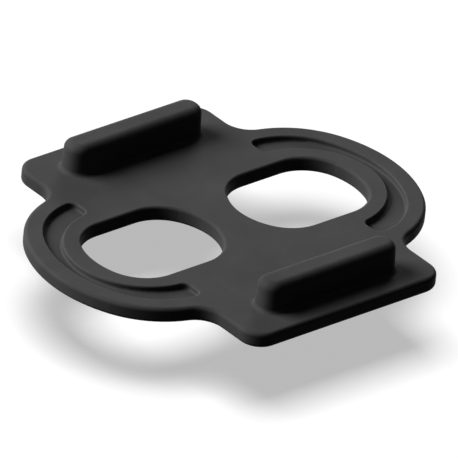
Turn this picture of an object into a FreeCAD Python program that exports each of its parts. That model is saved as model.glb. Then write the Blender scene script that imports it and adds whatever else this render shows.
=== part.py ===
import FreeCAD, Part

import math
import os

# One moulded plate that lies between a two-bolt shoe cleat and the sole of a riding shoe.
# X runs along the two bars, Y from the front wing to the back wing, Z up from the sole.
# The underside rests on z = 0, and all sizes are in millimetres.
# While it is made, the middle of the lobes is at y = 0. At the end the whole plate moves
# a little in Y, so that the origin lies midway between the ends of the wings.

# plate
PLATE_THICKNESS = 1.6
EDGE_ROUND = 0.4

# the two bolt openings, either side of the middle web; the end arcs are flatter than half
# circles by the first two lengths, and the corners are tighter by the third
WEB_WIDTH = 3.9
OPENING_LENGTH = 13.9
OPENING_WIDTH = 10.7
OPENING_OUTER_FLATTER = 2.3
OPENING_INNER_FLATTER = 0.8
OPENING_CORNER_TIGHTER = 1.0
OPENING_EDGE_ROUND = 0.3

# the shallow arc groove in each lobe, between a wall beside the opening and a rim outside
GROOVE_WALL = 2.1
GROOVE_WIDTH = 1.05
GROOVE_RIM = 1.9
GROOVE_SHOULDER_RIM = 2.3
GROOVE_TURN = 30.0
GROOVE_INNER_RADIUS = 7.45
GROOVE_END_OFFSET = 2.0
GROOVE_DEPTH = 0.6
GROOVE_CORNER_RADIUS = 0.75
GROOVE_EDGE_ROUND = 0.18

# lobes, one on each side in X: an end arc that turns into two tighter shoulder arcs
LOBE_END_RADIUS = 14.0
LOBE_SHOULDER_RADIUS = 9.8
LOBE_TURN = 27.0

# the two raised bars, each at its own distance from the openings to take the cleat
BAR_HEIGHT = 3.1
BAR_LENGTH = 16.3
BAR_WIDTH = 3.1
BACK_BAR_DISTANCE = 7.5
FRONT_BAR_DISTANCE = 8.0
BAR_CORNER_RADIUS = 1.45
BAR_DRAFT = 2.5
BAR_TOP_ROUND = 0.85
BAR_FOOT_ROUND = 0.45

# wings, one on each side in Y: ledges beside a bar's ends and behind it, rounded corners,
# and a hollow arc where they leave the lobes
BACK_SIDE_LEDGE = 3.25
BACK_END_LEDGE = 2.35
FRONT_SIDE_LEDGE = 3.55
FRONT_END_LEDGE = 2.5
WING_CORNER_RADIUS = 2.2
NOTCH_RADIUS = 2.65

# places that follow from the sizes above
OPENING_CENTRE = 0.5 * (WEB_WIDTH + OPENING_LENGTH)
GROOVE_REACH = OPENING_CENTRE + 0.5 * OPENING_LENGTH + GROOVE_WALL + GROOVE_WIDTH
GROOVE_START = OPENING_CENTRE + GROOVE_END_OFFSET
LOBE_REACH = GROOVE_REACH + GROOVE_RIM
BAR_END = 0.5 * BAR_LENGTH
BACK_BAR_FACE = 0.5 * OPENING_WIDTH + BACK_BAR_DISTANCE
FRONT_BAR_FACE = 0.5 * OPENING_WIDTH + FRONT_BAR_DISTANCE
BACK_REACH = BACK_BAR_FACE + BAR_WIDTH + BACK_END_LEDGE
FRONT_REACH = FRONT_BAR_FACE + BAR_WIDTH + FRONT_END_LEDGE

TINY = 0.01


def point(x, y, z=0.0):
    """A point or a vector."""
    return FreeCAD.Vector(x, y, z)


def arc(centre, radius, start, end):
    """The circular edge from angle start to angle end, in degrees, counter-clockwise."""
    ends = []
    for angle in (start, 0.5 * (start + end), end):
        turn = math.radians(angle)
        ends.append(centre + point(radius * math.cos(turn), radius * math.sin(turn)))
    return Part.Arc(*ends).toShape()


def line(a, b):
    """A straight edge."""
    return Part.LineSegment(a, b).toShape()


def face_of(edges):
    """The flat face inside a closed run of edges."""
    return Part.Face(Part.Wire(Part.__sortEdges__(edges)))


def mirrored(edges, normal):
    """The same edges reflected in the plane through the middle."""
    return [edge.mirror(point(0, 0), normal) for edge in edges]


def prism(face, bottom, top):
    """A straight solid over a face, between two heights."""
    solid = face.extrude(point(0, 0, top - bottom))
    solid.translate(point(0, 0, bottom))
    return solid


def shoulder_centre(reach, end_radius, shoulder_radius, turn):
    """The centre of the tighter arc that goes on from the end arc."""
    angle = math.radians(turn)
    step = end_radius - shoulder_radius
    return point(reach - end_radius + step * math.cos(angle), step * math.sin(angle))


def wing_edges(half_width, reach):
    """From a lobe's shoulder through the notch and round the wing's corner, in +X and +Y."""
    shoulder = shoulder_centre(LOBE_REACH, LOBE_END_RADIUS, LOBE_SHOULDER_RADIUS, LOBE_TURN)
    notch_x = half_width + NOTCH_RADIUS
    joint = LOBE_SHOULDER_RADIUS + NOTCH_RADIUS
    across = notch_x - shoulder.x
    notch_y = shoulder.y + math.sqrt(joint ** 2 - across ** 2)
    leave = math.degrees(math.atan2(notch_y - shoulder.y, across))
    corner = point(half_width - WING_CORNER_RADIUS, reach - WING_CORNER_RADIUS)
    return [
        arc(shoulder, LOBE_SHOULDER_RADIUS, LOBE_TURN, leave),
        arc(point(notch_x, notch_y), NOTCH_RADIUS, 180.0, 180.0 + leave),
        line(point(half_width, notch_y), point(half_width, corner.y)),
        arc(corner, WING_CORNER_RADIUS, 0.0, 90.0),
        line(point(corner.x, reach), point(0, reach)),
    ]


def plate_outline():
    """The closed outline: two lobes in X, two wings in Y."""
    right = wing_edges(BAR_END + BACK_SIDE_LEDGE, BACK_REACH)
    right += mirrored(wing_edges(BAR_END + FRONT_SIDE_LEDGE, FRONT_REACH), point(0, 1))
    right.append(arc(point(LOBE_REACH - LOBE_END_RADIUS, 0), LOBE_END_RADIUS, -LOBE_TURN, LOBE_TURN))
    return right + mirrored(right, point(1, 0))


def opening_outline():
    """One bolt opening on the +X side: straight sides along X, curved ends, rounded corners."""
    edges = []
    rise = OPENING_CORNER_TIGHTER
    half_width = 0.5 * OPENING_WIDTH
    corner_radius = half_width - rise
    corner_x = {}
    for side, flatter in ((1, OPENING_OUTER_FLATTER), (-1, OPENING_INNER_FLATTER)):
        radius = half_width + flatter
        end = point(OPENING_CENTRE + side * (0.5 * OPENING_LENGTH - radius), 0)
        run = math.sqrt((radius - corner_radius) ** 2 - rise ** 2)
        turn = math.degrees(math.atan2(rise, run))
        middle = 0.0 if side > 0 else 180.0
        edges.append(arc(end, radius, middle - turn, middle + turn))
        corner = point(end.x + side * run, rise)
        bend = arc(corner, corner_radius, turn, 90.0)
        if side < 0:
            bend = arc(corner, corner_radius, 90.0, 180.0 - turn)
        edges += [bend] + mirrored([bend], point(0, 1))
        corner_x[side] = corner.x
    for y in (half_width, -half_width):
        edges.append(line(point(corner_x[-1], y), point(corner_x[1], y)))
    return edges


def groove_outline():
    """One groove on the +X side: outer wall of three arcs, one inner arc, squared ends."""
    end_centre = point(LOBE_REACH - LOBE_END_RADIUS, 0)
    end_radius = GROOVE_REACH - end_centre.x
    shoulder_radius = LOBE_SHOULDER_RADIUS - GROOVE_SHOULDER_RIM
    shoulder = shoulder_centre(GROOVE_REACH, end_radius, shoulder_radius, GROOVE_TURN)
    outer = math.degrees(math.acos((GROOVE_START - shoulder.x) / shoulder_radius))
    inner_centre = point(GROOVE_REACH - GROOVE_WIDTH - GROOVE_INNER_RADIUS, 0)
    inner = math.degrees(math.acos((GROOVE_START - inner_centre.x) / GROOVE_INNER_RADIUS))
    outer_y = shoulder.y + shoulder_radius * math.sin(math.radians(outer))
    inner_y = GROOVE_INNER_RADIUS * math.sin(math.radians(inner))
    back = [
        arc(shoulder, shoulder_radius, GROOVE_TURN, outer),
        line(point(GROOVE_START, inner_y), point(GROOVE_START, outer_y)),
    ]
    edges = back + mirrored(back, point(0, 1))
    edges.append(arc(end_centre, end_radius, -GROOVE_TURN, GROOVE_TURN))
    edges.append(arc(inner_centre, GROOVE_INNER_RADIUS, -inner, inner))
    return edges


def bar_outline(inset, z):
    """The closed line round a bar at one height, drawn in by inset for the mould's draft."""
    corner = min(BAR_CORNER_RADIUS, 0.48 * BAR_WIDTH)
    radius = corner - inset
    x = BAR_END - corner
    y = 0.5 * BAR_WIDTH - corner
    edges = [
        arc(point(x, y), radius, 0.0, 90.0),
        line(point(x, y + radius), point(-x, y + radius)),
        arc(point(-x, y), radius, 90.0, 180.0),
        line(point(-x - radius, y), point(-x - radius, -y)),
        arc(point(-x, -y), radius, 180.0, 270.0),
        line(point(-x, -y - radius), point(x, -y - radius)),
        arc(point(x, -y), radius, 270.0, 360.0),
        line(point(x + radius, -y), point(x + radius, y)),
    ]
    wire = Part.Wire(edges)
    wire.translate(point(0, 0, z))
    return wire


def level_edges(shape, height):
    """The edges that lie wholly at one height."""
    found = []
    for edge in shape.Edges:
        box = edge.BoundBox
        if abs(box.ZMin - height) < TINY and abs(box.ZMax - height) < TINY:
            found.append(edge)
    return found


def upright_edges(shape):
    """The edges that run straight up."""
    found = []
    for edge in shape.Edges:
        box = edge.BoundBox
        if box.XLength < TINY and box.YLength < TINY:
            found.append(edge)
    return found


def make_plate():
    """The plate with both openings, all its edges rounded."""
    plate = prism(face_of(plate_outline()), 0.0, PLATE_THICKNESS)
    rims = level_edges(plate, 0.0) + level_edges(plate, PLATE_THICKNESS)
    plate = plate.makeFillet(EDGE_ROUND, rims)
    cutter = prism(face_of(opening_outline()), -1.0, PLATE_THICKNESS + 1.0)
    for tool in (cutter, cutter.mirror(point(0, 0), point(1, 0))):
        plate = plate.cut(tool)
    rims = []
    for height in (0.0, PLATE_THICKNESS):
        for edge in level_edges(plate, height):
            if inside_opening(edge):
                rims.append(edge)
    return plate.makeFillet(OPENING_EDGE_ROUND, rims)


def inside_opening(edge):
    """Whether an edge belongs to the rim of a bolt opening."""
    box = edge.BoundBox
    far = max(abs(box.XMin), abs(box.XMax))
    tall = max(abs(box.YMin), abs(box.YMax))
    limit = OPENING_CENTRE + 0.5 * OPENING_LENGTH + TINY
    return far < limit and tall < 0.5 * OPENING_WIDTH + TINY


def make_groove_cutter():
    """The solid taken out for one groove, its floor edges rounded."""
    floor = PLATE_THICKNESS - GROOVE_DEPTH
    cutter = prism(face_of(groove_outline()), floor, PLATE_THICKNESS + 1.0)
    ends = [edge for edge in upright_edges(cutter) if abs(edge.BoundBox.Center.x - GROOVE_START) < TINY]
    places = [abs(edge.BoundBox.Center.y) for edge in ends]
    corner = min(GROOVE_CORNER_RADIUS, 0.45 * (max(places) - min(places)))
    cutter = cutter.makeFillet(corner, ends)
    return cutter.makeFillet(GROOVE_EDGE_ROUND, level_edges(cutter, floor))


def groove_rims(plate):
    """The top edges of both grooves: all that lie in reach of a groove's outer wall."""
    rims = []
    for edge in level_edges(plate, PLATE_THICKNESS):
        box = edge.BoundBox
        reach = max(abs(box.XMin), abs(box.XMax))
        low = min(abs(box.XMin), abs(box.XMax))
        if low > GROOVE_START - TINY and reach < GROOVE_REACH + TINY and not inside_opening(edge):
            rims.append(edge)
    return rims


def make_bar(y):
    """One drafted bar with a rounded top, its root sunk into the plate."""
    root = 0.5 * PLATE_THICKNESS
    slope = math.tan(math.radians(BAR_DRAFT))
    low = bar_outline(-slope * (PLATE_THICKNESS - root), root)
    top = bar_outline(slope * BAR_HEIGHT, PLATE_THICKNESS + BAR_HEIGHT)
    bar = Part.makeLoft([low, top], True, True)
    bar = bar.makeFillet(BAR_TOP_ROUND, level_edges(bar, PLATE_THICKNESS + BAR_HEIGHT))
    bar.translate(point(0, y))
    return bar


def foot_edges(shape, y):
    """The edges where a bar meets the top of the plate."""
    found = []
    for edge in level_edges(shape, PLATE_THICKNESS):
        middle = edge.BoundBox.Center
        if abs(middle.x) < BAR_END + TINY and abs(middle.y - y) < 0.5 * BAR_WIDTH + TINY:
            found.append(edge)
    return found


def make_part():
    """The whole plate as one solid."""
    part = make_plate()
    cutter = make_groove_cutter()
    for tool in (cutter, cutter.mirror(point(0, 0), point(1, 0))):
        part = part.cut(tool)
    part = part.makeFillet(GROOVE_EDGE_ROUND, groove_rims(part))
    for y in (BACK_BAR_FACE + 0.5 * BAR_WIDTH, -FRONT_BAR_FACE - 0.5 * BAR_WIDTH):
        part = part.fuse(make_bar(y))
        part = part.makeFillet(BAR_FOOT_ROUND, foot_edges(part, y))
    part = part.removeSplitter()
    part.translate(point(0, 0.5 * (FRONT_REACH - BACK_REACH)))
    return part


os.makedirs("parts", exist_ok=True)
shim = make_part()
if len(shim.Solids) == 1:
    shim = shim.Solids[0]
shim.exportStep("parts/cleat_shim.step")
box = shim.optimalBoundingBox()
print("solids", len(shim.Solids), "valid", shim.isValid(), "volume", round(shim.Volume, 1))
print("size", round(box.XLength, 2), round(box.YLength, 2), round(box.ZLength, 2))
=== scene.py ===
"""Looks of a moulded shim for a two-bolt shoe cleat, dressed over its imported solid.

Lengths are in metres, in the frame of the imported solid, unless a name ends in _mm.
"""

from __future__ import annotations

import logging
import math
from dataclasses import dataclass, field
from enum import Enum
from typing import Any

import bpy
from mathutils import Matrix, Vector


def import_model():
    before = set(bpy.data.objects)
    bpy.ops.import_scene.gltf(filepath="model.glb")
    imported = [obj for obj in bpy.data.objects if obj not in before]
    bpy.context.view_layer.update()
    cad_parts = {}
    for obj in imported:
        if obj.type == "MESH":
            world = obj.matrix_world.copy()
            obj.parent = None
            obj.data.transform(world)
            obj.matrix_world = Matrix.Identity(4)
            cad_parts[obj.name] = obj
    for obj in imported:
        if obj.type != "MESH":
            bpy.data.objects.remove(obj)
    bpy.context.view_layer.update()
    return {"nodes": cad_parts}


LOG = logging.getLogger("cleat_shim")
IMAGE_PX = 458
MM = 0.001

Rgba = tuple[float, float, float, float]
WHITE: Rgba = (1.0, 1.0, 1.0, 1.0)
Node = bpy.types.Node
Socket = bpy.types.NodeSocket
Tree = bpy.types.NodeTree


def linear(code: str) -> Rgba:
    """Turns an sRGB hex colour into linear light.

    Args:
        code: The colour as "#rrggbb".

    Returns:
        Red, green, blue and an alpha of one.
    """
    parts = []
    for start in (1, 3, 5):
        value = int(code[start : start + 2], 16) / 255.0
        parts.append(value / 12.92 if value <= 0.04045 else ((value + 0.055) / 1.055) ** 2.4)
    return parts[0], parts[1], parts[2], 1.0


def open_socket(node: Node, name: str) -> Socket:
    """The input of that name that the node's settings leave in use."""
    return next(socket for socket in node.inputs if socket.name == name and socket.enabled)


def add_node(
    tree: Tree,
    kind: str,
    settings: dict[str, Any] | None = None,
    links: dict[str | int, Any] | None = None,
) -> Node:
    """Adds one node with its settings, socket values and links.

    Args:
        tree: The node tree that gets the node.
        kind: The node's type name, such as "ShaderNodeMath".
        settings: Attributes of the node itself.
        links: For each input's name or number, a value or another node's output socket.

    Returns:
        The new node.
    """
    node = tree.nodes.new(kind)
    for name, value in (settings or {}).items():
        setattr(node, name, value)
    for name, value in (links or {}).items():
        socket = node.inputs[name] if isinstance(name, int) else open_socket(node, name)
        if isinstance(value, Socket):
            tree.links.new(value, socket)
        else:
            socket.default_value = value
    return node


def colour_out(mix: Node) -> Socket:
    """The colour output of a mix node."""
    return next(out for out in mix.outputs if out.type == "RGBA" and out.enabled)


def scale_of(size_mm: float) -> float:
    """The texture scale at which one feature measures size_mm."""
    return 1.0 / (size_mm * MM)


def seen_ray(tree: Tree) -> Socket:
    """Finds whether the camera, a reflection or a look through glass meets the surface.

    Args:
        tree: The node tree that asks.

    Returns:
        One for those rays and zero for all others.
    """
    path = add_node(tree, "ShaderNodeLightPath").outputs
    direct = add_node(
        tree,
        "ShaderNodeMath",
        {"operation": "MAXIMUM"},
        {0: path["Is Camera Ray"], 1: path["Is Glossy Ray"]},
    )
    return add_node(
        tree,
        "ShaderNodeMath",
        {"operation": "MAXIMUM"},
        {0: direct.outputs["Value"], 1: path["Is Transmission Ray"]},
    ).outputs["Value"]


class LampRole(Enum):
    """What a soft box does in the studio."""

    GROUND = "ground"
    SIDE = "side"
    BACK = "back"


@dataclass(frozen=True)
class MouldedNylon:
    """Glass-filled nylon, injection moulded in a spark-eroded tool.

    To the eye it is a deep neutral black without shine: fibres near the skin keep the gloss low,
    the eroded tool leaves an even fine grain, and the flow of the melt shows as faint broad
    clouds. Edges are a little smoother where they rub in use, and a paler grey painted along
    them is a painted highlight on the rounded edges. The level of gloss is matched to the
    photograph, where walls turned from the light are all but black. The real grain is finer
    than a pixel of the render, so it is drawn as coarse as it needs to show.
    """

    name: str = "moulded_glass_filled_nylon_black"
    skin: str = "#444444"
    cloud: str = "#3c3c3c"
    # Paler grey for the edges: a painted highlight along the rounded edges.
    painted_edge_highlight: str = "#4d4d4d"
    roughness: float = 0.56
    roughness_swing: float = 0.07
    rub_gloss: float = 0.08
    ior: float = 1.53
    specular_level: float = 0.008
    grain_mm: float = 0.16
    grain_height_mm: float = 0.011
    grain_strength: float = 0.8
    grain_detail: float = 2.0
    grain_detail_share: float = 0.6
    fibre_mm: float = 0.55
    fibre_share: float = 0.35
    fibre_smoothness: float = 0.8
    cloud_mm: float = 5.5
    cloud_detail: float = 4.0
    cloud_distortion: float = 0.6
    cloud_range: tuple[float, float] = (0.32, 0.68)
    # The edge mask: it sets the edges' wear gloss and places their painted highlight.
    edge_mask_radius_mm: float = 0.32
    edge_mask_samples: int = 4
    edge_mask_range: tuple[float, float] = (0.995, 0.93)

    def material(self) -> bpy.types.Material:
        """Makes the finish.

        Returns:
            The material, ready to assign.
        """
        material = bpy.data.materials.new(self.name)
        material.use_nodes = True
        tree = material.node_tree
        tree.nodes.clear()
        place = add_node(tree, "ShaderNodeTexCoord").outputs["Object"]
        clouds = self._clouds(tree, place)
        # Edge mask: lowers the roughness where edges wear, and places the painted edge
        # highlight.
        edge_wear_and_highlight = self._edge_wear_and_highlight_mask(tree)
        shader = add_node(
            tree,
            "ShaderNodeBsdfPrincipled",
            links={
                "Base Color": self._colour(tree, clouds, edge_wear_and_highlight),
                "Roughness": self._roughness(tree, clouds, edge_wear_and_highlight),
                "Normal": self._grain(tree, place),
                "IOR": self.ior,
                "Specular IOR Level": self.specular_level,
                "Metallic": 0.0,
            },
        )
        add_node(tree, "ShaderNodeOutputMaterial", links={"Surface": shader.outputs["BSDF"]})
        return material

    def _clouds(self, tree: Tree, place: Socket) -> Socket:
        """Draws the broad clouds that the melt leaves as it fills the mould.

        Args:
            tree: The material's node tree.
            place: The point on the solid.

        Returns:
            The cloud's weight, from 0 to 1.
        """
        noise = add_node(
            tree,
            "ShaderNodeTexNoise",
            links={
                "Vector": place,
                "Scale": scale_of(self.cloud_mm),
                "Detail": self.cloud_detail,
                "Distortion": self.cloud_distortion,
            },
        )
        low, high = self.cloud_range
        return add_node(
            tree,
            "ShaderNodeMapRange",
            links={"Value": noise.outputs["Fac"], "From Min": low, "From Max": high},
        ).outputs["Result"]

    def _edge_wear_and_highlight_mask(self, tree: Tree) -> Socket:
        """Finds how much of an edge a point is, by how far a wide bevel would turn its normal.

        Args:
            tree: The material's node tree.

        Returns:
            The edge mask's weight, from 0 on flats to 1 on an edge. It sets the edges' wear
            gloss and their painted highlight.
        """
        bevel = add_node(
            tree,
            "ShaderNodeBevel",
            {"samples": self.edge_mask_samples},
            {"Radius": self.edge_mask_radius_mm * MM},
        )
        true_normal = add_node(tree, "ShaderNodeNewGeometry").outputs["Normal"]
        dot = add_node(
            tree,
            "ShaderNodeVectorMath",
            {"operation": "DOT_PRODUCT"},
            {0: bevel.outputs["Normal"], 1: true_normal},
        )
        flat, edge = self.edge_mask_range
        return add_node(
            tree,
            "ShaderNodeMapRange",
            links={"Value": dot.outputs["Value"], "From Min": flat, "From Max": edge},
        ).outputs["Result"]

    def _colour(self, tree: Tree, clouds: Socket, edge_wear_and_highlight: Socket) -> Socket:
        """Mixes the skin's colour, clouded, and paler on edges, where a painted highlight is
        laid.

        Args:
            tree: The material's node tree.
            clouds: The cloud's weight.
            edge_wear_and_highlight: The edge mask's weight, which places the painted highlight.

        Returns:
            The base colour.
        """
        base = add_node(
            tree,
            "ShaderNodeMix",
            {"data_type": "RGBA"},
            {"Factor": clouds, "A": linear(self.cloud), "B": linear(self.skin)},
        )
        # Mixes the paler grey in on edges: a painted highlight.
        with_painted_highlight = add_node(
            tree,
            "ShaderNodeMix",
            {"data_type": "RGBA"},
            {"Factor": edge_wear_and_highlight, "A": colour_out(base), "B": linear(self.painted_edge_highlight)},
        )
        return colour_out(with_painted_highlight)

    def _roughness(self, tree: Tree, clouds: Socket, edge_wear_and_highlight: Socket) -> Socket:
        """Swings the roughness a little with the clouds, and drops it where an edge is rubbed.

        Args:
            tree: The material's node tree.
            clouds: The cloud's weight.
            edge_wear_and_highlight: The edge mask's weight, which here sets the wear gloss.

        Returns:
            The roughness.
        """
        swing = add_node(
            tree,
            "ShaderNodeMath",
            {"operation": "MULTIPLY_ADD"},
            {0: clouds, 1: self.roughness_swing, 2: self.roughness - self.roughness_swing / 2},
        )
        return add_node(
            tree,
            "ShaderNodeMath",
            {"operation": "MULTIPLY_ADD"},
            {0: edge_wear_and_highlight, 1: -self.rub_gloss, 2: swing.outputs["Value"]},
        ).outputs["Value"]

    def _grain(self, tree: Tree, place: Socket) -> Socket:
        """Bumps the surface with the eroded tool's grain and faint marks of fibres under it.

        Args:
            tree: The material's node tree.
            place: The point on the solid.

        Returns:
            The bumped normal.
        """
        grain = add_node(
            tree,
            "ShaderNodeTexNoise",
            links={
                "Vector": place,
                "Scale": scale_of(self.grain_mm),
                "Detail": self.grain_detail,
                "Roughness": self.grain_detail_share,
            },
        )
        fibre = add_node(
            tree,
            "ShaderNodeTexVoronoi",
            {"feature": "SMOOTH_F1"},
            {
                "Vector": place,
                "Scale": scale_of(self.fibre_mm),
                "Smoothness": self.fibre_smoothness,
            },
        )
        height = add_node(
            tree,
            "ShaderNodeMath",
            {"operation": "MULTIPLY_ADD"},
            {0: fibre.outputs["Distance"], 1: self.fibre_share, 2: grain.outputs["Fac"]},
        )
        return add_node(
            tree,
            "ShaderNodeBump",
            links={
                "Height": height.outputs["Value"],
                "Strength": self.grain_strength,
                "Distance": self.grain_height_mm * MM,
            },
        ).outputs["Normal"]


@dataclass(frozen=True)
class StudioPaper:
    """White seamless paper, rolled smooth and without gloss.

    To the eye it is a plain white ground. Part of its white is a glow that only the camera,
    reflections and looks through glass meet, so that the shadow on it stays pale grey. To light
    that bounces it is dark, so that it doesn't brighten the shim's walls.
    """

    name: str = "seamless_studio_paper_white"
    white: str = "#bfbfbf"
    bounce: str = "#202020"
    glow: float = 0.485
    fleck_mm: float = 1.2
    fleck_detail: float = 3.0
    fleck_height_mm: float = 0.02
    fleck_strength: float = 0.05

    def material(self) -> bpy.types.Material:
        """Makes the ground's finish.

        Returns:
            The material, ready to assign.
        """
        material = bpy.data.materials.new(self.name)
        material.use_nodes = True
        tree = material.node_tree
        tree.nodes.clear()
        place = add_node(tree, "ShaderNodeTexCoord").outputs["Object"]
        fleck = add_node(
            tree,
            "ShaderNodeTexNoise",
            links={
                "Vector": place,
                "Scale": scale_of(self.fleck_mm),
                "Detail": self.fleck_detail,
            },
        )
        bump = add_node(
            tree,
            "ShaderNodeBump",
            links={
                "Height": fleck.outputs["Fac"],
                "Strength": self.fleck_strength,
                "Distance": self.fleck_height_mm * MM,
            },
        )
        bounce = add_node(tree, "ShaderNodeLightPath").outputs["Is Diffuse Ray"]
        colour = add_node(
            tree,
            "ShaderNodeMix",
            {"data_type": "RGBA"},
            {"Factor": bounce, "A": linear(self.white), "B": linear(self.bounce)},
        )
        paper = add_node(
            tree,
            "ShaderNodeBsdfDiffuse",
            links={"Color": colour_out(colour), "Normal": bump.outputs["Normal"]},
        )
        strength = add_node(
            tree, "ShaderNodeMath", {"operation": "MULTIPLY"}, {0: seen_ray(tree), 1: self.glow}
        )
        glow = add_node(
            tree,
            "ShaderNodeEmission",
            links={"Color": WHITE, "Strength": strength.outputs["Value"]},
        )
        total = add_node(
            tree,
            "ShaderNodeAddShader",
            links={0: paper.outputs["BSDF"], 1: glow.outputs["Emission"]},
        )
        add_node(tree, "ShaderNodeOutputMaterial", links={"Surface": total.outputs["Shader"]})
        return material


@dataclass
class CleatShim:
    """The shim itself: one moulded plate with two openings, two arc grooves and two bars."""

    node: str = "cleat_shim"
    finish: MouldedNylon = field(default_factory=MouldedNylon)

    def dress(self, nodes: dict[str, bpy.types.Object]) -> bpy.types.Object:
        """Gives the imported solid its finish.

        Args:
            nodes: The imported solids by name.

        Returns:
            The dressed solid.
        """
        solid = nodes[self.node]
        material = self.finish.material()
        for place in solid.material_slots:
            place.material = material
        if not solid.material_slots:
            solid.data.materials.append(material)
        return solid


@dataclass
class SoftBox:
    """One square soft box: where it hangs, in degrees and metres, its width and its power.

    The azimuth counts from +X towards +Y, and the elevation from the ground plane up.
    """

    role: LampRole
    azimuth: float
    elevation: float
    distance: float
    width: float
    watts: float

    def build(self, aim: Vector, lit: bpy.types.Object) -> bpy.types.Object:
        """Hangs the lamp.

        Args:
            aim: The point that the lamp faces.
            lit: The object that takes its light; all others only cast shadows in it.

        Returns:
            The lamp.
        """
        data = bpy.data.lights.new(f"soft_box_{self.role.value}", "AREA")
        data.shape = "SQUARE"
        data.size = self.width
        data.energy = self.watts
        lamp = bpy.data.objects.new(data.name, data)
        bpy.context.scene.collection.objects.link(lamp)
        turn = math.radians(self.azimuth)
        rise = math.radians(self.elevation)
        away = Vector(
            (math.cos(turn) * math.cos(rise), math.sin(turn) * math.cos(rise), math.sin(rise))
        )
        lamp.location = aim + away * self.distance
        lamp.rotation_mode = "QUATERNION"
        lamp.rotation_quaternion = away.to_track_quat("Z", "Y")
        group = bpy.data.collections.new(f"lit_by_{data.name}")
        group.objects.link(lit)
        lamp.light_linking.receiver_collection = group
        return lamp


@dataclass
class Studio:
    """Ground, backdrop and lamps. The shim floats above the ground, as its shadow shows.

    Each lamp lights either the ground or the shim, so that the shadow below the shim and the
    shades on it can both be as in the photograph.
    """

    ground_drop: float = 7.4 * MM
    ground_half: float = 3.0
    fill: float = 0.012
    paper: StudioPaper = field(default_factory=StudioPaper)
    boxes: tuple[SoftBox, ...] = (
        SoftBox(
            role=LampRole.GROUND,
            azimuth=173.0,
            elevation=79.0,
            distance=1.50,
            width=1.00,
            watts=27.5,
        ),
        SoftBox(
            role=LampRole.SIDE,
            azimuth=133.0,
            elevation=36.0,
            distance=0.60,
            width=0.42,
            watts=6.7,
        ),
        SoftBox(
            role=LampRole.BACK,
            azimuth=42.0,
            elevation=20.0,
            distance=0.60,
            width=0.24,
            watts=1.2,
        ),
    )

    def build(self, shim: bpy.types.Object) -> None:
        """Makes the ground, the backdrop and the lamps.

        Args:
            shim: The object that the side and back lamps light.
        """
        ground = self._ground()
        self._backdrop()
        aim = Vector((0.0, 0.0, 0.0))
        for box in self.boxes:
            lit = ground if box.role is LampRole.GROUND else shim
            box.build(aim, lit)

    def _ground(self) -> bpy.types.Object:
        """Lays a flat sheet of paper below the shim.

        Returns:
            The sheet.
        """
        half, low = self.ground_half, -self.ground_drop
        mesh = bpy.data.meshes.new("ground")
        rim = [(-half, -half, low), (half, -half, low), (half, half, low), (-half, half, low)]
        mesh.from_pydata(rim, [], [(0, 1, 2, 3)])
        mesh.materials.append(self.paper.material())
        ground = bpy.data.objects.new("ground", mesh)
        bpy.context.scene.collection.objects.link(ground)
        return ground

    def _backdrop(self) -> None:
        """Surrounds all with a backdrop that is seen as white and gives only a trace of fill."""
        world = bpy.data.worlds.new("studio")
        world.use_nodes = True
        tree = world.node_tree
        tree.nodes.clear()
        strength = add_node(
            tree,
            "ShaderNodeMapRange",
            links={"Value": seen_ray(tree), "To Min": self.fill, "To Max": 1.0},
        )
        shade = add_node(
            tree,
            "ShaderNodeBackground",
            links={"Color": WHITE, "Strength": strength.outputs["Result"]},
        )
        add_node(tree, "ShaderNodeOutputWorld", links={"Surface": shade.outputs["Background"]})
        bpy.context.scene.world = world


@dataclass
class PhotoCamera:
    """The camera at the photograph's viewing angle, far off with a long lens.

    Angles are in degrees: yaw turns the line of sight from +Y towards -X, pitch looks down, and
    roll turns the camera about its line of sight. The origin falls on the pixel given.
    """

    yaw: float = -42.32
    pitch: float = 30.65
    roll: float = 6.0
    px_per_mm: float = 10.4935
    origin_px: tuple[float, float] = (226.25, 232.7)
    distance: float = 2.0
    sensor_mm: float = 36.0
    clip: tuple[float, float] = (0.05, 20.0)

    def build(self) -> bpy.types.Object:
        """Sets up the camera.

        Returns:
            The camera, which is also the scene's.
        """
        yaw, pitch, roll = (math.radians(v) for v in (self.yaw, self.pitch, self.roll))
        ahead = Vector(
            (-math.sin(yaw) * math.cos(pitch), math.cos(yaw) * math.cos(pitch), -math.sin(pitch))
        )
        level = Vector((math.cos(yaw), math.sin(yaw), 0.0))
        upright = level.cross(ahead)
        right = math.cos(roll) * level + math.sin(roll) * upright
        up = -math.sin(roll) * level + math.cos(roll) * upright
        half = IMAGE_PX / 2
        across = (half - self.origin_px[0]) / self.px_per_mm * MM
        down = (self.origin_px[1] - half) / self.px_per_mm * MM
        data = bpy.data.cameras.new("photo_camera")
        data.sensor_width = self.sensor_mm
        data.lens = self.sensor_mm * self.px_per_mm * (self.distance / MM) / IMAGE_PX
        data.clip_start, data.clip_end = self.clip
        camera = bpy.data.objects.new("photo_camera", data)
        bpy.context.scene.collection.objects.link(camera)
        place = right * across + up * down - ahead * self.distance
        turn = Matrix((right, up, -ahead)).transposed().to_4x4()
        camera.matrix_world = Matrix.Translation(place) @ turn
        bpy.context.scene.camera = camera
        return camera


def main() -> None:
    """Dresses the shim, builds the studio and the camera, and sets a plain view transform."""
    logging.basicConfig(level=logging.INFO, format="%(name)s: %(message)s")
    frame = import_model()
    shim = CleatShim().dress(frame["nodes"])
    LOG.info("dressed %s", shim.name)
    Studio().build(shim)
    LOG.info("built the studio")
    camera = PhotoCamera().build()
    LOG.info("set up %s with a %.0f mm lens", camera.name, camera.data.lens)
    bpy.context.scene.view_settings.view_transform = "Standard"


if __name__ == "__main__":
    main()
